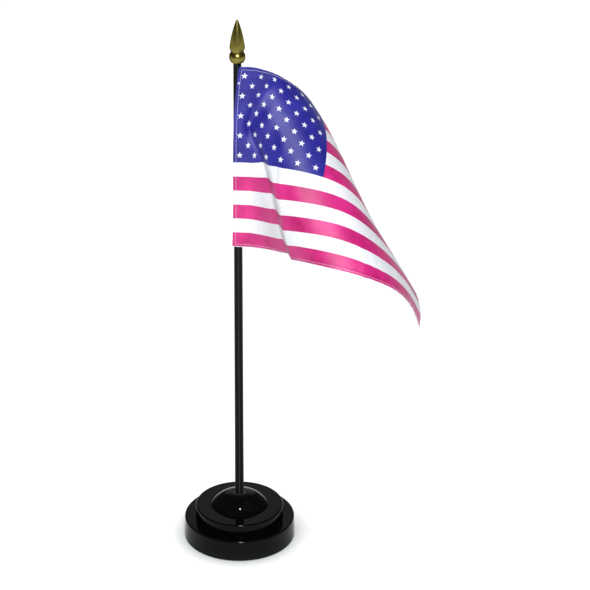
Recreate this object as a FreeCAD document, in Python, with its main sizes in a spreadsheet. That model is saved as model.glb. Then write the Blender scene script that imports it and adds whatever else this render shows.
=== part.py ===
import FreeCAD, Part
import math
import os
import Sketcher

# Desk flag stand, in millimetres.
# The stand rests on z = 0, the staff's axis is +Z, and the flag flies towards +X with its face to -Y.

Vector = FreeCAD.Vector

DRIVING_SIZES = {
    # base moulding: two round tiers and a dome, hollow underneath
    "base_radius": 30.0,
    "rim_lift": 0.4,
    "lower_tier_top": 12.0,
    "upper_tier_radius": 24.0,
    "upper_tier_top": 18.7,
    "tier_draft": 0.2,
    "tier_edge_radius": 0.9,
    "dome_foot_radius": 15.8,
    "dome_rise": 7.3,
    "wall": 2.2,
    "rib_thickness": 1.4,
    "rib_count": 6,
    # socket for the staff, and the sleeve that lines it
    "boss_radius": 5.6,
    "boss_floor": 1.6,
    "socket_floor": 4.6,
    "sleeve_radius": 3.4,
    "sleeve_drop": 0.3,
    "running_gap": 0.05,
    # what closes the base: pad, cover and weight, from the table upwards
    "pad_thickness": 0.9,
    "pad_radius": 27.4,
    "cover_thickness": 1.6,
    "cover_radius": 28.4,
    "spigot_radius": 8.0,
    "spigot_wall": 1.2,
    "spigot_rise": 2.4,
    "weight_radius": 27.2,
    "weight_thickness": 3.2,
    # staff
    "staff_foot_radius": 2.38,
    "staff_tip_radius": 2.08,
    "staff_foot_chamfer": 0.4,
    "staff_taper_start": 30.0,
    "staff_top": 281.0,
    # spear finial
    "finial_bottom": 274.9,
    "collar_end_radius": 3.2,
    "collar_arc": 4.1,
    "neck_height": 280.2,
    "neck_radius": 3.1,
    "spear_base_height": 282.3,
    "spear_base_radius": 3.9,
    "spear_arc": 60.0,
    "spear_tip_height": 296.8,
    "spear_tip_radius": 0.55,
    # flag and the glue line that holds it
    "flag_top": 273.2,
    "flag_drop": 99.0,
    "cloth_thickness": 0.5,
    "hoist_standoff": 2.75,
    "glue_width": 1.2,
    "glue_depth": 1.4,
    "glue_hollow_radius": 2.21,
    "glue_end_margin": 5.0,
    "glue_shift": 0.7,
}


class Size:
    """A length that knows its value and the sheet expression that gives it."""

    def __init__(self, value, text):
        self.value = value
        self.text = text

    def __add__(self, other):
        other = as_size(other)
        return Size(self.value + other.value, f"({self.text} + {other.text})")

    def __sub__(self, other):
        other = as_size(other)
        return Size(self.value - other.value, f"({self.text} - {other.text})")

    def __mul__(self, other):
        other = as_size(other)
        return Size(self.value * other.value, f"({self.text} * {other.text})")

    def __truediv__(self, other):
        other = as_size(other)
        return Size(self.value / other.value, f"({self.text} / {other.text})")

    def root(self):
        return Size(math.sqrt(self.value), f"sqrt({self.text})")


def as_size(number):
    """Let a plain number stand in a sum of sizes."""
    if isinstance(number, Size):
        return number
    return Size(number, str(number))


def make_sheet(document):
    """Write the driving sizes into a spreadsheet, one aliased cell each."""
    sheet = document.addObject("Spreadsheet::Sheet", "Sizes")
    for row, (name, value) in enumerate(DRIVING_SIZES.items(), start=1):
        sheet.set(f"A{row}", name)
        sheet.set(f"B{row}", str(value))
        sheet.setAlias(f"B{row}", name)
    document.recompute()
    return {name: Size(sheet.get(name), f"Sizes.{name}") for name in DRIVING_SIZES}


doc = FreeCAD.newDocument("desk_flag_stand")
mm = make_sheet(doc)

# Heights and radii that follow from the driving sizes.
cover_top = mm["pad_thickness"] + mm["cover_thickness"]
weight_top = cover_top + mm["weight_thickness"]
bore_radius = mm["sleeve_radius"] + mm["running_gap"]


def cap_sphere(foot_radius, rise):
    """Radius of the sphere whose cap has this radius at its foot and this rise above it."""
    return (foot_radius * foot_radius + rise * rise) / (rise * 2)


dome_sphere = cap_sphere(mm["dome_foot_radius"], mm["dome_rise"])
dome_centre = mm["upper_tier_top"] + mm["dome_rise"] - dome_sphere


def dome_height(radius):
    """Height of the dome's surface at this distance from the axis."""
    return dome_centre + (dome_sphere * dome_sphere - radius * radius).root()


def add_body(label):
    """Start a PartDesign body whose label names its file."""
    body = doc.addObject("PartDesign::Body", label)
    body.Label = label
    return body


def add_sketch(body, name, plane_role):
    """Start a sketch on one of the body's own origin planes."""
    planes = {plane.Role: plane for plane in body.Origin.OriginFeatures}
    sketch = body.newObject("Sketcher::SketchObject", name)
    sketch.AttachmentSupport = [(planes[plane_role], "")]
    sketch.MapMode = "FlatFace"
    return sketch


def arc_between(start, end, radius):
    """An arc that runs anticlockwise from start to end."""
    half_chord = (end - start) * 0.5
    reach = math.sqrt(radius * radius - half_chord.Length * half_chord.Length)
    inward = Vector(-half_chord.y, half_chord.x, 0)
    inward.normalize()
    centre = start + half_chord + inward * reach
    start_angle = math.atan2(start.y - centre.y, start.x - centre.x)
    end_angle = math.atan2(end.y - centre.y, end.x - centre.x)
    circle = Part.Circle(centre, Vector(0, 0, 1), radius)
    return Part.ArcOfCircle(circle, start_angle, end_angle)


def bind_distance(sketch, kind, axis, geometry, distance):
    """Hold a piece's start at a bound distance from the sketch's origin, or on its axis."""
    if distance.value == 0:
        sketch.addConstraint(Sketcher.Constraint("PointOnObject", geometry, 1, axis))
        return
    held = Sketcher.Constraint(kind, -1, 1, geometry, 1, distance.value)
    number = sketch.addConstraint(held)
    sketch.setExpression(f"Constraints[{number}]", distance.text)


def draw_outline(sketch, corners, arcs=None):
    """Close the corners with lines, or with an anticlockwise arc after a corner listed in arcs."""
    arcs = arcs or {}
    corners = [(as_size(across), as_size(up)) for across, up in corners]
    points = [Vector(across.value, up.value, 0) for across, up in corners]
    for index, start in enumerate(points):
        end = points[(index + 1) % len(points)]
        if index in arcs:
            sketch.addGeometry(arc_between(start, end, arcs[index].value))
        else:
            sketch.addGeometry(Part.LineSegment(start, end))
    for index, (across, up) in enumerate(corners):
        following = (index + 1) % len(corners)
        sketch.addConstraint(Sketcher.Constraint("Coincident", index, 2, following, 1))
        bind_distance(sketch, "DistanceX", -2, index, across)
        bind_distance(sketch, "DistanceY", -1, index, up)
    for index, radius in arcs.items():
        number = sketch.addConstraint(Sketcher.Constraint("Radius", index, radius.value))
        sketch.setExpression(f"Constraints[{number}]", radius.text)


def revolve(body, name, corners, arcs=None):
    """Turn a closed half outline of radius and height corners about the body's Z axis."""
    sketch = add_sketch(body, name + "_outline", "XZ_Plane")
    draw_outline(sketch, corners, arcs)
    turned = body.newObject("PartDesign::Revolution", name)
    turned.Profile = sketch
    turned.ReferenceAxis = (sketch, ["V_Axis"])
    turned.Angle = 360
    doc.recompute()
    return turned


def round_edges(body, name, feature, rings, radius):
    """Fillet the circular edges that have one of these radius and height pairs."""
    names = []
    for number, edge in enumerate(feature.Shape.Edges, start=1):
        if not isinstance(edge.Curve, Part.Circle):
            continue
        centre = edge.Curve.Center
        for ring_radius, ring_height in rings:
            same_radius = abs(edge.Curve.Radius - ring_radius.value) < 0.01
            if same_radius and abs(centre.z - ring_height.value) < 0.01:
                names.append(f"Edge{number}")
    fillet = body.newObject("PartDesign::Fillet", name)
    fillet.Base = (feature, names)
    fillet.setExpression("Radius", radius.text)
    doc.recompute()
    return fillet


def make_base_shell():
    """The black moulding: two tiers, a dome, a blind socket in a central boss, ribs underneath."""
    body = add_body("base_shell")
    upper_ceiling = mm["upper_tier_top"] - mm["wall"]
    lower_ceiling = mm["lower_tier_top"] - mm["wall"]
    lower_inside = mm["base_radius"] - mm["wall"]
    upper_inside = mm["upper_tier_radius"] - mm["wall"]
    dome_inside = mm["dome_foot_radius"] - mm["wall"] * 1.7
    dome_ceiling = dome_height(dome_inside) - mm["wall"]
    boss_bottom = mm["socket_floor"] - mm["boss_floor"]
    lower_crown = mm["base_radius"] - mm["tier_draft"]
    upper_crown = mm["upper_tier_radius"] - mm["tier_draft"]
    corners = [
        (mm["base_radius"], mm["rim_lift"]),
        (lower_crown, mm["lower_tier_top"]),
        (mm["upper_tier_radius"], mm["lower_tier_top"]),
        (upper_crown, mm["upper_tier_top"]),
        (mm["dome_foot_radius"], mm["upper_tier_top"]),
        (bore_radius, dome_height(bore_radius)),
        (bore_radius, mm["socket_floor"]),
        (0, mm["socket_floor"]),
        (0, boss_bottom),
        (mm["boss_radius"], boss_bottom),
        (mm["boss_radius"], dome_ceiling),
        (dome_inside, dome_ceiling),
        (dome_inside, upper_ceiling),
        (upper_inside, upper_ceiling),
        (upper_inside, lower_ceiling),
        (lower_inside, lower_ceiling),
        (lower_inside, cover_top),
        (mm["cover_radius"], cover_top),
        (mm["cover_radius"], mm["rim_lift"]),
    ]
    moulding = revolve(body, "base_moulding", corners, arcs={4: dome_sphere})
    rings = [
        (lower_crown, mm["lower_tier_top"]),
        (upper_crown, mm["upper_tier_top"]),
    ]
    rounded = round_edges(body, "tier_edges", moulding, rings, mm["tier_edge_radius"])
    before = rounded.Shape.Volume

    overlap = 0.4
    rib_sketch = add_sketch(body, "rib_outline", "XZ_Plane")
    rib_corners = [
        (mm["boss_radius"] - overlap, weight_top),
        (lower_inside + overlap, weight_top),
        (lower_inside + overlap, lower_ceiling + overlap),
        (upper_inside + overlap, lower_ceiling + overlap),
        (upper_inside + overlap, upper_ceiling + overlap),
        (mm["boss_radius"] - overlap, upper_ceiling + overlap),
    ]
    draw_outline(rib_sketch, rib_corners)
    rib = body.newObject("PartDesign::Pad", "rib")
    rib.Profile = rib_sketch
    rib.setExpression("Length", mm["rib_thickness"].text)
    rib.SideType = "Symmetric"
    doc.recompute()
    ribs = body.newObject("PartDesign::PolarPattern", "ribs")
    ribs.Originals = [rib]
    ribs.Axis = (rib_sketch, ["V_Axis"])
    ribs.Angle = 360
    ribs.setExpression("Occurrences", mm["rib_count"].text)
    body.Tip = ribs
    doc.recompute()
    if body.Shape.Volume <= before:
        raise RuntimeError("the ribs added nothing to the base")
    return body


def make_bottom_cover():
    """The disc that closes the base, with a spigot that centres the weight."""
    body = add_body("bottom_cover")
    spigot_top = cover_top + mm["spigot_rise"]
    spigot_inside = mm["spigot_radius"] - mm["spigot_wall"]
    corners = [
        (0, mm["pad_thickness"]),
        (mm["cover_radius"], mm["pad_thickness"]),
        (mm["cover_radius"], cover_top),
        (mm["spigot_radius"], cover_top),
        (mm["spigot_radius"], spigot_top),
        (spigot_inside, spigot_top),
        (spigot_inside, cover_top),
        (0, cover_top),
    ]
    revolve(body, "cover_disc", corners)
    return body


def make_disc(label, radius, bottom, thickness, hole=None):
    """A flat disc or ring from Part cylinders, labelled as its node."""
    disc = doc.addObject("Part::Cylinder", label + "_blank")
    disc.setExpression("Radius", radius.text)
    disc.setExpression("Height", thickness.text)
    disc.setExpression("Placement.Base.z", bottom.text)
    if hole is None:
        disc.Label = label
        return disc
    opening = doc.addObject("Part::Cylinder", label + "_opening")
    opening.setExpression("Radius", hole.text)
    opening.setExpression("Height", thickness.text)
    opening.setExpression("Placement.Base.z", bottom.text)
    ring = doc.addObject("Part::Cut", label)
    ring.Base = disc
    ring.Tool = opening
    ring.Label = label
    return ring


def make_sleeve():
    """The thin liner that grips the staff and turns with it in the base's bore."""
    height = dome_height(bore_radius) - mm["sleeve_drop"] - mm["socket_floor"]
    staff_hole = mm["staff_foot_radius"] + mm["running_gap"]
    lifted = mm["socket_floor"] + mm["running_gap"]
    return make_disc("socket_sleeve", mm["sleeve_radius"], lifted, height, hole=staff_hole)


def make_staff():
    """The black staff: a parallel foot in the socket, then a slow taper up into the finial."""
    body = add_body("staff")
    foot = mm["socket_floor"] + mm["running_gap"]
    corners = [
        (0, foot),
        (mm["staff_foot_radius"] - mm["staff_foot_chamfer"], foot),
        (mm["staff_foot_radius"], foot + mm["staff_foot_chamfer"]),
        (mm["staff_foot_radius"], mm["staff_taper_start"]),
        (mm["staff_tip_radius"], mm["finial_bottom"]),
        (mm["staff_tip_radius"], mm["staff_top"]),
        (0, mm["staff_top"]),
    ]
    revolve(body, "staff_turning", corners)
    return body


def make_finial():
    """The gold spear: a rounded collar, a neck and a long point, with a blind socket below."""
    body = add_body("spear_finial")
    tip_rise = mm["spear_tip_radius"] * 0.8
    corners = [
        (mm["staff_tip_radius"], mm["finial_bottom"]),
        (mm["collar_end_radius"], mm["finial_bottom"]),
        (mm["neck_radius"], mm["neck_height"]),
        (mm["spear_base_radius"], mm["spear_base_height"]),
        (mm["spear_tip_radius"], mm["spear_tip_height"]),
        (0, mm["spear_tip_height"] + tip_rise),
        (0, mm["staff_top"]),
        (mm["staff_tip_radius"], mm["staff_top"]),
    ]
    arcs = {
        1: mm["collar_arc"],
        3: mm["spear_arc"],
        4: cap_sphere(mm["spear_tip_radius"], tip_rise),
    }
    revolve(body, "spear_turning", corners, arcs=arcs)
    return body


# The cloth hangs from its glued hoist in one broad diagonal fold: its lower half swells towards -Y,
# and beyond the fold its upper fly corner hangs behind. Each rail follows one line of the cloth from
# the hoist to the fly: its places are x, y and the distance below the flag's top, and the stations
# say how far along the cloth they lie.
STATIONS = [0, 4, 22, 45, 72, 105, 149]
RAIL_STEPS = 12
TOP_RAIL = [(0.9, 0, 0), (5, 0.5, 0.2), (18, 10, 7.5), (32, 22, 21), (42, 31, 43), (45, 39, 77),
            (51, 54, 114)]
UPPER_RAIL = [(-2, 0, 33), (2, -0.1, 33), (14.5, -3, 32), (34, -6, 35), (53, 2, 51), (63, 12, 80),
              (73, 30, 117)]
LOWER_RAIL = [(-2.4, 0, 66), (1.6, -0.4, 66), (13.5, -9, 64), (28, -25, 60), (53, -28, 65), (74, -18, 87),
              (90, 4, 122)]
BOTTOM_RAIL = [(-3, 0, 99), (1, -0.4, 99), (18, -12, 96), (29, -31, 91), (47, -49, 88), (77, -48, 99),
               (93.5, -24, 133)]


def rail_points(rail):
    """Even places along a rail's smooth curve, put where the flag hangs."""
    standoff = mm["hoist_standoff"].value
    top = mm["flag_top"].value
    curve = Part.BSplineCurve()
    curve.interpolate(Points=[Vector(x, y - standoff, top - below) for x, y, below in rail],
                      Parameters=STATIONS)
    return [curve.value(STATIONS[-1] * step / RAIL_STEPS) for step in range(RAIL_STEPS + 1)]


def smooth_surface(rows):
    """One smooth surface through rows of points."""
    surface = Part.BSplineSurface()
    surface.interpolate(rows)
    return surface


def pushed_out(surface, point, distance):
    """Move a point off the surface, towards the side that faces -Y at the hoist."""
    outward = surface.normal(*surface.parameter(point))
    at_hoist = surface.normal(0, 0)
    if at_hoist.y > 0:
        outward = outward * -1
    return point + outward * distance


def make_flag():
    """The cloth as one thin closed solid between two smooth faces lofted through the rails."""
    rows = [rail_points(rail) for rail in (TOP_RAIL, UPPER_RAIL, LOWER_RAIL, BOTTOM_RAIL)]
    back = smooth_surface(rows)
    thickness = mm["cloth_thickness"].value
    front = smooth_surface([[pushed_out(back, point, thickness) for point in row] for row in rows])
    back_face = back.toShape()
    front_face = front.toShape()
    edge_band = Part.makeLoft([back_face.OuterWire, front_face.OuterWire], False, True)
    skin = Part.makeShell([back_face, front_face, *edge_band.Faces])
    skin.sewShape()
    flag = doc.addObject("Part::Feature", "flag_cloth")
    flag.Label = "flag_cloth"
    flag.Shape = Part.makeSolid(skin)
    return flag


def make_glue():
    """The glue line that fills the wedge between the staff's front and the back of the hoist."""
    bead = doc.addObject("Part::Box", "glue_bead")
    bead_length = mm["flag_drop"] - mm["glue_end_margin"] * 2
    bead_bottom = mm["flag_top"] - mm["flag_drop"] + mm["glue_end_margin"]
    bead_front = mm["running_gap"] * 2 - mm["hoist_standoff"]
    bead.setExpression("Length", mm["glue_width"].text)
    bead.setExpression("Width", mm["glue_depth"].text)
    bead.setExpression("Height", bead_length.text)
    bead.setExpression("Placement.Base.x", mm["glue_shift"].text)
    bead.setExpression("Placement.Base.y", bead_front.text)
    bead.setExpression("Placement.Base.z", bead_bottom.text)

    staff_room = doc.addObject("Part::Cylinder", "glue_staff_room")
    staff_room.setExpression("Radius", mm["glue_hollow_radius"].text)
    staff_room.setExpression("Height", mm["flag_top"].text)
    glued = doc.addObject("Part::Cut", "hoist_adhesive")
    glued.Base = bead
    glued.Tool = staff_room
    glued.Label = "hoist_adhesive"
    return glued


weight_hole = mm["spigot_radius"] + mm["running_gap"]
nodes = [
    make_base_shell(),
    make_bottom_cover(),
    make_disc("felt_pad", mm["pad_radius"], as_size(0), mm["pad_thickness"]),
    make_disc("weight_disc", mm["weight_radius"], cover_top, mm["weight_thickness"], hole=weight_hole),
    make_sleeve(),
    make_staff(),
    make_finial(),
    make_flag(),
    make_glue(),
]
doc.recompute()

for item in doc.Objects:
    if "Invalid" in item.State or "Error" in item.State:
        raise RuntimeError(f"{item.Label} failed: {item.State}")
for node in nodes:
    shape = node.Shape
    if shape.isNull() or not shape.isValid():
        raise RuntimeError(f"{node.Label} has no valid shape")

os.makedirs("parts", exist_ok=True)
for node in nodes:
    node.Shape.exportStep(f"parts/{node.Label}.step")
    print(f"{node.Label}: {node.Shape.Volume:.0f} mm3, {len(node.Shape.Solids)} solid(s)")
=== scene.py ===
import bpy
import math
import numpy as np
from mathutils import Euler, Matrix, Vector


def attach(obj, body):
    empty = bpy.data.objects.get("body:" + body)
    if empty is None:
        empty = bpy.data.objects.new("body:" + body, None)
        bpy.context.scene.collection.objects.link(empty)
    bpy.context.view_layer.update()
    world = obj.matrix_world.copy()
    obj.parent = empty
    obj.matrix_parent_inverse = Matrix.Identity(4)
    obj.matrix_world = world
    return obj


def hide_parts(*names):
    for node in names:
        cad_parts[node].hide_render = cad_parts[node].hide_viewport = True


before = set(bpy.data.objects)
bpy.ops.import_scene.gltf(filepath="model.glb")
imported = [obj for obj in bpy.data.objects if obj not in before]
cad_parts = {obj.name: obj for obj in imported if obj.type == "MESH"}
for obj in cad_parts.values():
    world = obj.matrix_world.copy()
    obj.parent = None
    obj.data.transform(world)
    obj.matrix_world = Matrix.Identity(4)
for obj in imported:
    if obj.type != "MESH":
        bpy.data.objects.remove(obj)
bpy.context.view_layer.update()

# All lengths are metres unless a name says mm. +X is the fly side, -Y faces the camera, +Z is up.
MM = 0.001

# The printed cloth before hemming: a 4 by 6 inch print with thirteen stripes.
PRINT_HEIGHT = 101.6 * MM
STRIPE = PRINT_HEIGHT / 13
CANTON_WIDTH = 60.96 * MM
CANTON_HEIGHT = STRIPE * 7
STAR_PITCH = CANTON_WIDTH / 6
STAR_ROW = 5.37 * MM
FIRST_STAR_ROW = 7.8 * MM
STAR_RADIUS = 1.85 * MM
HEM_TAKEN_TOP = 3.0 * MM
HEM_TAKEN_HOIST = 1.7 * MM

# The hemmed flag.
FLAG_WIDTH = 149 * MM
FLAG_DROP = 99 * MM
FLAG_TOP = 273.2 * MM
HEM_WIDTH = 2.4 * MM
CLOTH_THICKNESS = 0.2 * MM
HEM_THICKNESS = 0.55 * MM
PUCKER_PITCH = 3.6 * MM
PUCKER_DEPTH = 0.16 * MM
STITCH_INSET = 1.5 * MM
STITCH_PITCH = 2.1 * MM
STEPS_PER_STITCH = 6
THREAD_RADIUS = 0.07 * MM
THREAD_SIDES = 6
WARP_PITCH = 0.32 * MM
WEFT_PITCH = 0.3 * MM
CELL = 1.0 * MM

# The bar tack near the hoist's top: short stitches side by side.
TACK_BARS = 6
TACK_START = 0.5 * MM
TACK_SPACING = 0.2 * MM
TACK_SLANT = 0.1 * MM
TACK_TOP = 8 * MM
TACK_BOTTOM = 9.4 * MM

# The settling of the cloth: a strip at the hoist is held fast, the rest is only drawn to the drape.
HELD_STRIP = 3.6 * MM
HELD_FAST = 1.0
HELD_LOOSELY = 0.4
SETTLE_FRAMES = 30

# The drape's four rails, as in the CAD model: x, y and the distance below the flag's top, in mm.
STATIONS = (0, 4, 22, 45, 72, 105, 149)
TOP_RAIL = [(0.9, 0, 0), (5, 0.5, 0.2), (18, 10, 7.5), (32, 22, 21), (42, 31, 43), (45, 39, 77),
            (51, 54, 114)]
UPPER_RAIL = [(-2, 0, 33), (2, -0.1, 33), (14.5, -3, 32), (34, -6, 35), (53, 2, 51), (63, 12, 80),
              (73, 30, 117)]
LOWER_RAIL = [(-2.4, 0, 66), (1.6, -0.4, 66), (13.5, -9, 64), (28, -25, 60), (53, -28, 65), (74, -18, 87),
              (90, 4, 122)]
BOTTOM_RAIL = [(-3, 0, 99), (1, -0.4, 99), (18, -12, 96), (29, -31, 91), (47, -49, 88), (77, -48, 99),
               (93.5, -24, 133)]
RAILS = (TOP_RAIL, UPPER_RAIL, LOWER_RAIL, BOTTOM_RAIL)
HOIST_STANDOFF = 2.95 * MM

# Creases laid on the drape. Each has the line it follows, through (across, down) places in mm, then its
# width, the step by which the cloth beyond it stands nearer the viewer, and its swell (a hollow if
# negative), all in mm.
CREASES = [
    ([(16, 42), (23, 52), (28, 60), (32, 68), (36, 78), (39, 90), (41, 103)], 2.6, 2.8, 0),
    ([(23, 6), (19, 14), (14, 24), (7, 30)], 5.0, 0, -3.2),
    ([(5, 31), (13, 40), (19, 47), (25, 55)], 1.8, 0, -1.4),
    ([(5, 42), (10, 49), (13, 56)], 2.4, 0, 0.5),
    ([(8, 4), (13, 6), (20, 5)], 2.0, 0, -0.7),
    ([(27, 28), (31, 40), (33, 52)], 3.0, 0.5, 0),
    ([(86, 83), (89, 91), (90, 103)], 1.3, 0, 0.5),
    ([(93, 85), (95, 92), (96, 103)], 1.2, 0, 0.45),
    ([(99, 86), (101, 93), (102, 103)], 1.3, 0, 0.4),
    ([(4, 89), (6, 95)], 1.2, 0, -0.35),
    ([(9, 89), (6, 95)], 1.2, 0, -0.35),
]
# Creases die away at the hoist over a ramp, and start this many ramps' width from it.
CREASE_RAMP = 5 * MM
CREASE_START = 0.9
# A step grows over this share of its line.
STEP_GROWTH = 0.35


# ---------------------------------------------------------------- node helpers

class Nodes:
    """A material's node tree with short calls for the few kinds of node used here."""

    def __init__(self, name):
        self.material = bpy.data.materials.new(name)
        self.material.use_nodes = True
        self.tree = self.material.node_tree
        self.shader = self.tree.nodes["Principled BSDF"]
        self.output = self.tree.nodes["Material Output"]

    def add(self, kind, **settings):
        node = self.tree.nodes.new(kind)
        for name, value in settings.items():
            setattr(node, name, value)
        return node

    def link(self, value, socket):
        """Feed a socket from another socket, or set it to a plain value."""
        if isinstance(value, bpy.types.NodeSocket):
            self.tree.links.new(value, socket)
        else:
            socket.default_value = value

    def math(self, operation, *values):
        node = self.add("ShaderNodeMath", operation=operation)
        for value, socket in zip(values, node.inputs):
            self.link(value, socket)
        return node.outputs[0]

    def mix(self, share, low, high):
        """Mix two colours by a share from 0 to 1."""
        node = self.add("ShaderNodeMix", data_type="RGBA")
        self.link(share, node.inputs["Factor"])
        self.link(low, node.inputs["A"])
        self.link(high, node.inputs["B"])
        return node.outputs["Result"]

    def object_place(self):
        return self.add("ShaderNodeTexCoord").outputs["Object"]

    def noise(self, scale, detail=3.0, roughness=0.5, place=None, stretch=None):
        node = self.add("ShaderNodeTexNoise")
        node.inputs["Scale"].default_value = scale
        node.inputs["Detail"].default_value = detail
        node.inputs["Roughness"].default_value = roughness
        place = place or self.object_place()
        if stretch:
            mapping = self.add("ShaderNodeMapping")
            mapping.inputs["Scale"].default_value = stretch
            self.link(place, mapping.inputs["Vector"])
            place = mapping.outputs["Vector"]
        self.link(place, node.inputs["Vector"])
        return node.outputs["Fac"]

    def remap(self, value, low, high, from_low=0.0, from_high=1.0):
        node = self.add("ShaderNodeMapRange")
        self.link(value, node.inputs["Value"])
        ends = {"From Min": from_low, "From Max": from_high, "To Min": low, "To Max": high}
        for name, number in ends.items():
            node.inputs[name].default_value = number
        return node.outputs["Result"]

    def bump(self, height, strength, distance):
        node = self.add("ShaderNodeBump")
        node.inputs["Strength"].default_value = strength
        node.inputs["Distance"].default_value = distance
        self.link(height, node.inputs["Height"])
        self.link(node.outputs["Normal"], self.shader.inputs["Normal"])

    def set(self, **values):
        for name, value in values.items():
            self.link(value, self.shader.inputs[name.replace("_", " ")])


def rgb(red, green, blue):
    """An opaque colour from its linear shares."""
    return (red, green, blue, 1.0)


def wear_near_edges(nodes):
    """A share that is high on the outer edges of a moulding."""
    geometry = nodes.add("ShaderNodeNewGeometry")
    return nodes.remap(geometry.outputs["Pointiness"], 0.0, 1.0, 0.5, 0.62)


def make_gloss_black():
    """Polished black moulding with faint flow marks, dust and rubbed edges."""
    nodes = Nodes("gloss_black_plastic")
    dust = nodes.noise(900, 2, 0.7)
    flow = nodes.noise(35, 4, 0.6, stretch=(1, 1, 3))
    speckle = nodes.remap(dust, 0, 1, 0.62, 0.8)
    colour = nodes.mix(speckle, rgb(0.001, 0.0014, 0.0014), rgb(0.004, 0.005, 0.005))
    colour = nodes.mix(nodes.math("MULTIPLY", wear_near_edges(nodes), 0.25), colour, rgb(0.03, 0.03, 0.032))
    roughness = nodes.math("ADD", nodes.remap(flow, 0.04, 0.1), nodes.math("MULTIPLY", speckle, 0.04))
    nodes.set(Base_Color=colour, Roughness=roughness, IOR=1.16)
    nodes.bump(flow, 0.05, 0.0001)
    return nodes.material


def make_staff_black():
    """Glossy black enamel on a turned dowel: the fine turning rings draw its highlight out lengthwise."""
    nodes = Nodes("staff_black")
    streaks = nodes.noise(600, 3, 0.6, stretch=(1, 1, 0.03))
    colour = nodes.mix(streaks, rgb(0.0008, 0.0014, 0.0012), rgb(0.003, 0.0045, 0.004))
    around = nodes.add("ShaderNodeTangent", direction_type="RADIAL", axis="Z").outputs["Tangent"]
    nodes.set(Base_Color=colour, Roughness=nodes.remap(streaks, 0.4, 0.48), IOR=1.25, Anisotropic=1.0,
              Anisotropic_Rotation=0.25, Tangent=around)
    nodes.bump(streaks, 0.2, 0.00005)
    return nodes.material


def make_gold():
    """Metallised olive gold, with painted shade darkening its hollows."""
    nodes = Nodes("metallised_gold")
    cloud = nodes.noise(160, 4, 0.6)
    grain = nodes.noise(1400, 2, 0.6)
    geometry = nodes.add("ShaderNodeNewGeometry")
    # Painted shade: the colour darkens towards brown-black where the surface is hollow.
    painted_groove_shade = nodes.remap(geometry.outputs["Pointiness"], 1.0, 0.0, 0.42, 0.5)
    colour = nodes.mix(cloud, rgb(0.16, 0.135, 0.02), rgb(0.26, 0.225, 0.065))
    colour = nodes.mix(nodes.math("MULTIPLY", painted_groove_shade, 0.7), colour, rgb(0.05, 0.035, 0.01))
    nodes.set(Base_Color=colour, Metallic=1.0, Roughness=nodes.remap(cloud, 0.22, 0.34),
              Specular_Tint=rgb(0.08, 0.08, 0.05))
    nodes.bump(grain, 0.06, 0.00004)
    return nodes.material


def make_steel():
    """Zinc-plated steel with a dull, spangled surface."""
    nodes = Nodes("plated_steel")
    spangle = nodes.noise(220, 3, 0.7)
    colour = nodes.mix(spangle, rgb(0.42, 0.43, 0.44), rgb(0.62, 0.62, 0.6))
    nodes.set(Base_Color=colour, Metallic=1.0, Roughness=nodes.remap(spangle, 0.3, 0.5))
    nodes.bump(nodes.noise(1500, 2, 0.5), 0.15, 0.00005)
    return nodes.material


def make_matte_black(name, base_roughness):
    """Plain black moulding or vinyl with a fine moulded grain."""
    nodes = Nodes(name)
    grain = nodes.noise(1300, 3, 0.6)
    colour = nodes.mix(grain, rgb(0.014, 0.014, 0.015), rgb(0.035, 0.035, 0.036))
    nodes.set(Base_Color=colour, Roughness=nodes.remap(grain, base_roughness, base_roughness + 0.15))
    nodes.bump(grain, 0.3, 0.0001)
    return nodes.material


def make_felt():
    """Black felt: matted fibres with lint."""
    nodes = Nodes("black_felt")
    fibres = nodes.noise(1600, 6, 0.75, stretch=(1, 2.2, 1))
    clumps = nodes.noise(240, 3, 0.6)
    colour = nodes.mix(fibres, rgb(0.01, 0.01, 0.011), rgb(0.06, 0.06, 0.063))
    colour = nodes.mix(nodes.math("MULTIPLY", clumps, 0.4), colour, rgb(0.03, 0.03, 0.032))
    nodes.set(Base_Color=colour, Roughness=0.95, Sheen_Weight=0.5, Sheen_Roughness=0.6)
    nodes.bump(fibres, 0.9, 0.0004)
    return nodes.material


def make_glue():
    """Set clear glue, slightly cloudy."""
    nodes = Nodes("set_glue")
    cloud = nodes.noise(700, 3, 0.6)
    colour = nodes.mix(cloud, rgb(0.7, 0.7, 0.66), rgb(0.86, 0.86, 0.84))
    nodes.set(Base_Color=colour, Roughness=nodes.remap(cloud, 0.2, 0.4))
    nodes.bump(cloud, 0.3, 0.0001)
    return nodes.material


# ---------------------------------------------------------------- flag material

# Each dye has a paler and a deeper tone; a cloudy noise mixes the two at random, as in an uneven print.
WHITE = rgb(0.95, 0.95, 0.97)
WHITE_DEEP = rgb(0.84, 0.88, 0.93)
RED = rgb(0.8, 0.03, 0.28)
RED_DEEP = rgb(0.46, 0.004, 0.13)
BLUE = rgb(0.032, 0.032, 0.36)
BLUE_DEEP = rgb(0.004, 0.002, 0.2)


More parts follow.
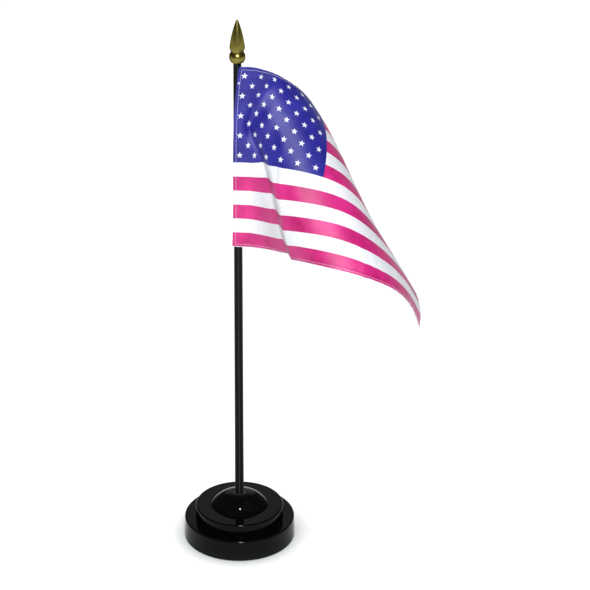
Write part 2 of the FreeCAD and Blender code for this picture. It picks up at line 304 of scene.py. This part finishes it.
def star_shares(nodes, across, down):
    """1 inside a star, for the two interleaved lattices of five-pointed stars in the canton."""
    inner = STAR_RADIUS * 0.382
    wedge = math.pi / 5
    along = 1 / STAR_RADIUS
    beside = (STAR_RADIUS - inner * math.cos(wedge)) / (STAR_RADIUS * inner * math.sin(wedge))

    def star(shift_across, shift_down):
        """One lattice of stars, shifted from the canton's corner."""
        x = nodes.math("WRAP", nodes.math("ADD", across, shift_across), STAR_PITCH / 2, -STAR_PITCH / 2)
        y = nodes.math("WRAP", nodes.math("ADD", down, shift_down), STAR_ROW, -STAR_ROW)
        squares = nodes.math("ADD", nodes.math("MULTIPLY", x, x), nodes.math("MULTIPLY", y, y))
        distance = nodes.math("SQRT", squares)
        turn = nodes.math("ARCTAN2", x, nodes.math("MULTIPLY", y, -1.0))
        folded = nodes.math("ABSOLUTE", nodes.math("WRAP", turn, wedge, -wedge))
        reach = nodes.math("MULTIPLY", nodes.math("COSINE", folded), along)
        spread = nodes.math("MULTIPLY", nodes.math("SINE", folded), beside)
        edge = nodes.math("MULTIPLY", distance, nodes.math("ADD", reach, spread))
        return nodes.math("LESS_THAN", edge, 1.0)

    odd_rows = star(-STAR_PITCH / 2, -FIRST_STAR_ROW)
    even_rows = star(0.0, -FIRST_STAR_ROW - STAR_ROW)
    inside_across = nodes.math("MULTIPLY", nodes.math("GREATER_THAN", across, STAR_PITCH / 2),
                               nodes.math("LESS_THAN", across, CANTON_WIDTH - STAR_PITCH / 2))
    even_rows = nodes.math("MULTIPLY", even_rows, inside_across)
    printed = nodes.math("MULTIPLY", nodes.math("GREATER_THAN", down, FIRST_STAR_ROW - STAR_ROW / 2),
                         nodes.math("LESS_THAN", down, FIRST_STAR_ROW + STAR_ROW * 8.5))
    return nodes.math("MULTIPLY", printed, nodes.math("MAXIMUM", odd_rows, even_rows))


def make_flag_cloth():
    """Printed stripes, canton and stars on thin woven cloth."""
    nodes = Nodes("printed_flag_cloth")
    place = nodes.add("ShaderNodeUVMap", uv_map="sheet").outputs["UV"]
    parts = nodes.add("ShaderNodeSeparateXYZ")
    nodes.link(place, parts.inputs["Vector"])
    across = nodes.math("MULTIPLY_ADD", parts.outputs["X"], FLAG_WIDTH, HEM_TAKEN_HOIST)
    down = nodes.math("MULTIPLY_ADD", parts.outputs["Y"], -FLAG_DROP, FLAG_DROP + HEM_TAKEN_TOP)

    stripe_phase = nodes.math("WRAP", nodes.math("DIVIDE", down, STRIPE), 2.0, 0.0)
    red_share = nodes.math("LESS_THAN", stripe_phase, 1.0)
    canton_share = nodes.math("MULTIPLY", nodes.math("LESS_THAN", across, CANTON_WIDTH),
                              nodes.math("LESS_THAN", down, CANTON_HEIGHT))
    star_share = star_shares(nodes, across, down)

    warp = nodes.math("SINE", nodes.math("MULTIPLY", across, math.tau / WARP_PITCH))
    weft = nodes.math("SINE", nodes.math("MULTIPLY", down, math.tau / WEFT_PITCH))
    weave = nodes.math("MULTIPLY_ADD", nodes.math("MULTIPLY", warp, weft), 0.5, 0.5)
    slub = nodes.noise(1200, 3, 0.65, stretch=(1, 1, 4))
    cloud = nodes.noise(70, 3, 0.6)
    fleck = nodes.noise(2200, 2, 0.8)

    ink = nodes.remap(cloud, 0.0, 1.0, 0.25, 0.75)
    white = nodes.mix(ink, WHITE, WHITE_DEEP)
    red = nodes.mix(ink, RED, RED_DEEP)
    blue = nodes.mix(ink, BLUE, BLUE_DEEP)
    stripes = nodes.mix(red_share, white, red)
    canton = nodes.mix(star_share, blue, white)
    colour = nodes.mix(canton_share, stripes, canton)
    # Painted shade between the woven threads, mixed with random flecks of thread tone: the print is
    # multiplied darker in the weave's gaps.
    lit_thread = nodes.math("MULTIPLY", weave, nodes.remap(fleck, 0.0, 1.0, 0.35, 0.65))
    shade = nodes.mix(lit_thread, rgb(0.72, 0.72, 0.74), rgb(1, 1, 1))
    print_with_painted_weave_shade = nodes.add("ShaderNodeMix", data_type="RGBA", blend_type="MULTIPLY")
    print_with_painted_weave_shade.inputs["Factor"].default_value = 1.0
    nodes.link(colour, print_with_painted_weave_shade.inputs["A"])
    nodes.link(shade, print_with_painted_weave_shade.inputs["B"])
    colour = print_with_painted_weave_shade.outputs["Result"]

    nodes.set(Base_Color=colour, Roughness=0.42, IOR=1.5)
    nodes.bump(nodes.math("ADD", weave, slub), 0.35, 0.00008)
    through = nodes.add("ShaderNodeBsdfTranslucent")
    nodes.link(colour, through.inputs["Color"])
    thin = nodes.add("ShaderNodeMixShader")
    thin.inputs["Fac"].default_value = 0.12
    nodes.link(nodes.shader.outputs["BSDF"], thin.inputs[1])
    nodes.link(through.outputs["BSDF"], thin.inputs[2])
    nodes.link(thin.outputs["Shader"], nodes.output.inputs["Surface"])
    return nodes.material


def make_thread():
    """White polyester sewing thread."""
    nodes = Nodes("sewing_thread")
    twist = nodes.noise(3000, 2, 0.5, stretch=(1, 1, 2))
    colour = nodes.mix(twist, rgb(0.45, 0.42, 0.55), rgb(0.66, 0.62, 0.76))
    nodes.set(Base_Color=colour, Roughness=0.6, Sheen_Weight=0.3)
    nodes.bump(twist, 0.5, 0.00005)
    return nodes.material


# ---------------------------------------------------------------- the draped flag

def natural_spline(stations, values, wanted):
    """Smooth cubic curve through values at stations, worked out at the wanted places."""
    stations = np.asarray(stations, float)
    values = np.asarray(values, float)
    gaps = np.diff(stations)
    count = len(stations)
    system = np.eye(count)
    pull = np.zeros((count, values.shape[1]))
    for i in range(1, count - 1):
        system[i, i - 1] = gaps[i - 1]
        system[i, i] = 2 * (gaps[i - 1] + gaps[i])
        system[i, i + 1] = gaps[i]
        pull[i] = 6 * ((values[i + 1] - values[i]) / gaps[i] - (values[i] - values[i - 1]) / gaps[i - 1])
    bend = np.linalg.solve(system, pull)
    span = np.clip(np.searchsorted(stations, wanted) - 1, 0, count - 2)
    gap = gaps[span][:, None]
    after = (wanted - stations[span])[:, None]
    before = gap - after
    curve = (bend[span] * before ** 3 + bend[span + 1] * after ** 3) / (6 * gap)
    curve += (values[span] / gap - bend[span] * gap / 6) * before
    curve += (values[span + 1] / gap - bend[span + 1] * gap / 6) * after
    return curve


def drape_points(across, down):
    """Where the cloth's places (fractions of its width and drop) hang, before it is relaxed."""
    heights = np.linspace(0, 1, len(RAILS))
    points = np.zeros((len(across), 3))
    for index, rail in enumerate(RAILS):
        places = np.array(rail, float)
        places[:, 2] *= -1
        others = np.delete(heights, index)
        weight = np.prod((down[:, None] - others) / (heights[index] - others), axis=1)
        points += weight[:, None] * natural_spline(STATIONS, places, across * STATIONS[-1])
    points = points * MM
    place = np.column_stack([across * FLAG_WIDTH, down * FLAG_DROP])
    near_hoist = np.clip(place[:, 0] / CREASE_RAMP - CREASE_START, 0, 1)
    for crease in CREASES:
        points[:, 1] -= crease_depth(place, *crease) * near_hoist
    points[:, 1] -= HOIST_STANDOFF
    points[:, 2] += FLAG_TOP
    return points


def crease_depth(place, along, width, step, swell):
    """How far one crease pushes each place on the cloth towards the viewer, in metres."""
    line = np.array(along, float) * MM
    nearest = np.full(len(place), np.inf)
    beside = np.zeros(len(place))
    passed = np.zeros(len(place))
    gone = 0.0
    for start, end in zip(line[:-1], line[1:]):
        length = np.linalg.norm(end - start)
        onward = (end - start) / length
        share = np.clip((place - start) @ onward, 0, length)
        away = place - start - share[:, None] * onward
        distance = np.linalg.norm(away, axis=1)
        closer = distance < nearest
        nearest = np.where(closer, distance, nearest)
        side = away[:, 0] * onward[1] - away[:, 1] * onward[0]
        beside = np.where(closer, np.copysign(distance, side), beside)
        passed = np.where(closer, gone + share, passed)
        gone += length
    reach = beside / (width * MM)
    begun = np.clip(passed / (gone * STEP_GROWTH), 0, 1)
    stepped = step * begun * 2 * reach / (1 + reach * reach)
    swelled = swell * np.exp(-reach * reach / 2)
    return (stepped + swelled) * MM


def grid_counts():
    """How many points the cloth's grid has across and down."""
    return round(FLAG_WIDTH / CELL) + 1, round(FLAG_DROP / CELL) + 1


def make_flag_sheet():
    """The single-layer cloth as a grid with its print coordinates."""
    columns, rows = grid_counts()
    across, down = np.meshgrid(np.linspace(0, 1, columns), np.linspace(0, 1, rows))
    across = across.ravel()
    down = down.ravel()
    points = drape_points(across, down)
    faces = []
    for row in range(rows - 1):
        for column in range(columns - 1):
            corner = row * columns + column
            faces.append((corner, corner + columns, corner + columns + 1, corner + 1))
    mesh = bpy.data.meshes.new("flag_sheet")
    mesh.from_pydata(points.tolist(), [], faces)
    layer = mesh.uv_layers.new(name="sheet")
    for loop in mesh.loops:
        layer.data[loop.index].uv = (across[loop.vertex_index], 1 - down[loop.vertex_index])
    sheet = bpy.data.objects.new("flag_sheet", mesh)
    bpy.context.collection.objects.link(sheet)
    for polygon in mesh.polygons:
        polygon.use_smooth = True
    return sheet, across, down


def relax_cloth(sheet, across, down):
    """Let the drape settle as real cloth: its flat size is the cut, the hoist is held on the staff."""
    sheet.shape_key_add(name="Basis")
    cut = sheet.shape_key_add(name="cut")
    for index, key in enumerate(cut.data):
        key.co = (across[index] * FLAG_WIDTH, 0, -down[index] * FLAG_DROP)
    held = sheet.vertex_groups.new(name="held")
    for index in range(len(across)):
        on_staff = across[index] * FLAG_WIDTH < HELD_STRIP
        held.add([index], HELD_FAST if on_staff else HELD_LOOSELY, "REPLACE")
    modifier = sheet.modifiers.new("cloth", "CLOTH")
    settings = modifier.settings
    settings.quality = 12
    settings.mass = 0.02
    settings.tension_stiffness = 40
    settings.compression_stiffness = 40
    settings.shear_stiffness = 20
    settings.bending_stiffness = 0.4
    settings.air_damping = 4
    settings.vertex_group_mass = "held"
    settings.pin_stiffness = 1.0
    settings.rest_shape_key = cut
    settings.effector_weights.gravity = 0.02
    modifier.collision_settings.use_collision = False
    modifier.collision_settings.use_self_collision = False
    scene = bpy.context.scene
    modifier.point_cache.frame_start = 1
    modifier.point_cache.frame_end = SETTLE_FRAMES
    for number in range(1, SETTLE_FRAMES + 1):
        scene.frame_set(number)
    settled = sheet.evaluated_get(bpy.context.evaluated_depsgraph_get())
    points = np.array([vertex.co[:] for vertex in settled.data.vertices])
    sheet.modifiers.remove(modifier)
    sheet.shape_key_clear()
    for vertex, point in zip(sheet.data.vertices, points):
        vertex.co = point
    scene.frame_set(1)
    return points


def edge_distance(across, down):
    """How far each place on the cloth is from its nearest edge, in metres."""
    beside = np.minimum(across, 1 - across) * FLAG_WIDTH
    above = np.minimum(down, 1 - down) * FLAG_DROP
    return np.minimum(beside, above)


def cloth_normals(grid):
    """Unit normals of a grid of points, on the side that faces the viewer at the hoist."""
    along = np.gradient(grid, axis=1)
    drop = np.gradient(grid, axis=0)
    normals = np.cross(drop, along)
    normals /= np.linalg.norm(normals, axis=2)[:, :, None]
    if normals[0, 0, 1] > 0:
        normals = -normals
    return normals


def pucker_hems(grid, across, down):
    """Ripple the hems where the stitching gathers them."""
    inset = edge_distance(across, down)
    share = np.clip((HEM_WIDTH * 1.4 - inset) / HEM_WIDTH, 0, 1)
    along = (across * FLAG_WIDTH + down * FLAG_DROP) * math.tau / PUCKER_PITCH
    ripple = np.sin(along + 1.7 * np.sin(along * 0.23)) * (0.65 + 0.35 * np.sin(along * 0.31))
    depth = (share * ripple * PUCKER_DEPTH).reshape(grid.shape[:2])
    return grid + cloth_normals(grid) * depth[:, :, None]


def between(field, across, down):
    """Values of a grid field at fractions across and down, between its points."""
    rows, columns = field.shape[:2]
    column = np.clip(across * (columns - 1), 0, columns - 1.001)
    row = np.clip(down * (rows - 1), 0, rows - 1.001)
    left = column.astype(int)
    upper = row.astype(int)
    beside = (column - left)[:, None]
    below = (row - upper)[:, None]
    high = field[upper, left] * (1 - beside) + field[upper, left + 1] * beside
    low = field[upper + 1, left] * (1 - beside) + field[upper + 1, left + 1] * beside
    return high * (1 - below) + low * below


def seam_path(grid, normals, start, end, side):
    """A thread's centre line on one side of the cloth: it rises over each stitch and dips at each hole."""
    start = np.array(start)
    end = np.array(end)
    stitches = max(1, round(np.linalg.norm(end - start) / STITCH_PITCH))
    share = np.linspace(0, 1, stitches * STEPS_PER_STITCH + 1)
    place = start + (end - start) * share[:, None]
    across = place[:, 0] / FLAG_WIDTH
    down = place[:, 1] / FLAG_DROP
    swing = 2 * (share * stitches % 1) - 1
    lift = HEM_THICKNESS / 2 + THREAD_RADIUS * (0.7 - 3 * swing ** 6)
    normal = between(normals, across, down) * side
    return between(grid, across, down) + normal * lift[:, None], normal


def add_thread(points, faces, path, normal):
    """Add a round thread along a path to lists of points and faces."""
    first = len(points)
    tangent = np.gradient(path, axis=0)
    beside = np.cross(tangent, normal)
    beside /= np.linalg.norm(beside, axis=1)[:, None]
    upward = np.cross(beside, tangent)
    upward /= np.linalg.norm(upward, axis=1)[:, None]
    for turn in range(THREAD_SIDES):
        angle = math.tau * turn / THREAD_SIDES
        ring = path + (beside * math.cos(angle) + upward * math.sin(angle)) * THREAD_RADIUS
        points.extend(ring.tolist())
    count = len(path)
    for turn in range(THREAD_SIDES):
        here = first + turn * count
        there = first + (turn + 1) % THREAD_SIDES * count
        for step in range(count - 1):
            faces.append((here + step, here + step + 1, there + step + 1, there + step))
    faces.append([first + turn * count for turn in range(THREAD_SIDES)])
    faces.append([first + (turn + 1) * count - 1 for turn in reversed(range(THREAD_SIDES))])


def make_stitching(grid, normals):
    """The lock stitch round all four hems, on both faces, and the bar tack near the hoist's top."""
    near = STITCH_INSET
    far = FLAG_WIDTH - STITCH_INSET
    low = FLAG_DROP - STITCH_INSET
    runs = [((near, near), (far, near)), ((far, near), (far, low)), ((far, low), (near, low)),
            ((near, low), (near, near))]
    points = []
    faces = []
    for start, end in runs:
        for side in (-1, 1):
            add_thread(points, faces, *seam_path(grid, normals, start, end, side))
    for bar in range(TACK_BARS):
        place = TACK_START + TACK_SPACING * bar
        start = (place, TACK_TOP)
        end = (place + TACK_SLANT, TACK_BOTTOM)
        for side in (-1, 1):
            add_thread(points, faces, *seam_path(grid, normals, start, end, side))
    mesh = bpy.data.meshes.new("stitching")
    mesh.from_pydata(points, [], faces)
    for polygon in mesh.polygons:
        polygon.use_smooth = True
    mesh.materials.append(make_thread())
    stitching = bpy.data.objects.new("stitching", mesh)
    bpy.context.collection.objects.link(stitching)
    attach(stitching, "flagstaff")
    return stitching


def make_flag():
    """The hemmed, printed flag hanging from the staff."""
    sheet, across, down = make_flag_sheet()
    columns, rows = grid_counts()
    points = np.array([vertex.co[:] for vertex in sheet.data.vertices])
    points = relax_cloth(sheet, across, down)
    grid = pucker_hems(points.reshape(rows, columns, 3), across, down)
    for vertex, point in zip(sheet.data.vertices, grid.reshape(-1, 3)):
        vertex.co = point
    sheet.vertex_groups.clear()
    layers = sheet.vertex_groups.new(name="layers")
    inset = edge_distance(across, down)
    for index, distance in enumerate(inset):
        folded = min(1, max(0, (HEM_WIDTH - distance) / (0.5 * MM)))
        layers.add([index], folded, "REPLACE")
    smooth = sheet.modifiers.new("smooth", "SUBSURF")
    smooth.levels = 1
    smooth.render_levels = 1
    thick = sheet.modifiers.new("thickness", "SOLIDIFY")
    thick.thickness = HEM_THICKNESS
    thick.offset = 0
    thick.vertex_group = "layers"
    thick.thickness_vertex_group = CLOTH_THICKNESS / HEM_THICKNESS
    sheet.data.materials.append(make_flag_cloth())
    stitching = make_stitching(grid, cloth_normals(grid))
    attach(sheet, "flagstaff")
    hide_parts("flag_cloth")


# ---------------------------------------------------------------- stage

def give_material(node, material):
    """Finish a CAD node with one material."""
    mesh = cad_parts[node].data
    mesh.materials.clear()
    mesh.materials.append(material)


def add_area_light(name, place, aim, size, power):
    """A round softbox at a place, turned to shine at its aim."""
    data = bpy.data.lights.new(name, "AREA")
    data.shape = "DISK"
    data.size = size
    data.energy = power
    light = bpy.data.objects.new(name, data)
    light.location = place
    light.rotation_euler = (Vector(aim) - Vector(place)).to_track_quat("-Z", "Y").to_euler()
    bpy.context.collection.objects.link(light)


def make_floor():
    """A white table that shines evenly by emission, with a painted contact shadow: the emission is dimmed
    where the stand is close to it.
    """
    mesh = bpy.data.meshes.new("floor")
    reach = 6.0
    corners = [(-reach, -reach, 0), (reach, -reach, 0), (reach, reach, 0), (-reach, reach, 0)]
    mesh.from_pydata(corners, [], [(0, 1, 2, 3)])
    floor = bpy.data.objects.new("floor", mesh)
    bpy.context.collection.objects.link(floor)
    nodes = Nodes("white_floor")
    # Painted contact shadow: ambient occlusion near the stand dims the floor's emission towards grey-teal.
    painted_contact_shadow = nodes.add("ShaderNodeAmbientOcclusion", samples=16)
    painted_contact_shadow.inputs["Distance"].default_value = 0.045
    grain = nodes.noise(400, 3, 0.6)
    emission_with_painted_shadow = nodes.mix(nodes.remap(painted_contact_shadow.outputs["AO"], 0, 1, 0.45), rgb(0.12, 0.15, 0.15), rgb(1, 1, 1))
    nodes.set(Base_Color=nodes.mix(grain, rgb(0.33, 0.33, 0.33), rgb(0.37, 0.37, 0.37)), Roughness=0.9,
              Emission_Color=emission_with_painted_shadow, Emission_Strength=0.88)
    mesh.materials.append(nodes.material)


def make_world():
    """Dim, even light from all round."""
    world = bpy.data.worlds.new("studio")
    world.use_nodes = True
    background = world.node_tree.nodes["Background"]
    background.inputs["Color"].default_value = rgb(1, 1, 1)
    background.inputs["Strength"].default_value = 0.1
    bpy.context.scene.world = world
    bpy.context.scene.view_settings.view_transform = "Standard"


def make_camera():
    """A long lens in front of the stand, looking down at it."""
    data = bpy.data.cameras.new("camera")
    data.lens = 155.6
    data.sensor_width = 36
    camera = bpy.data.objects.new("camera", data)
    camera.location = (0.0296, -1.2, 0.73)
    pitch = math.radians(90 - 25.99)
    roll = math.radians(0.33)
    camera.rotation_euler = Euler((pitch, 0, 0))
    camera.rotation_euler.rotate_axis("Z", roll)
    bpy.context.collection.objects.link(camera)
    bpy.context.scene.camera = camera


make_camera()
make_world()
make_floor()
add_area_light("key", (0.1, -1.3, 1.15), (0, 0, 0.12), 0.3, 32)
add_area_light("top", (0.05, -0.35, 1.5), (0, 0, 0.02), 0.12, 6)
add_area_light("back", (0, 1.6, 0.8), (0, 0, 0.02), 1.4, 2.4)

give_material("base_shell", make_gloss_black())
give_material("bottom_cover", make_matte_black("cover_black", 0.5))
give_material("weight_disc", make_steel())
give_material("felt_pad", make_felt())
give_material("socket_sleeve", make_matte_black("sleeve_vinyl", 0.4))
give_material("staff", make_staff_black())
give_material("spear_finial", make_gold())
give_material("hoist_adhesive", make_glue())
make_flag()
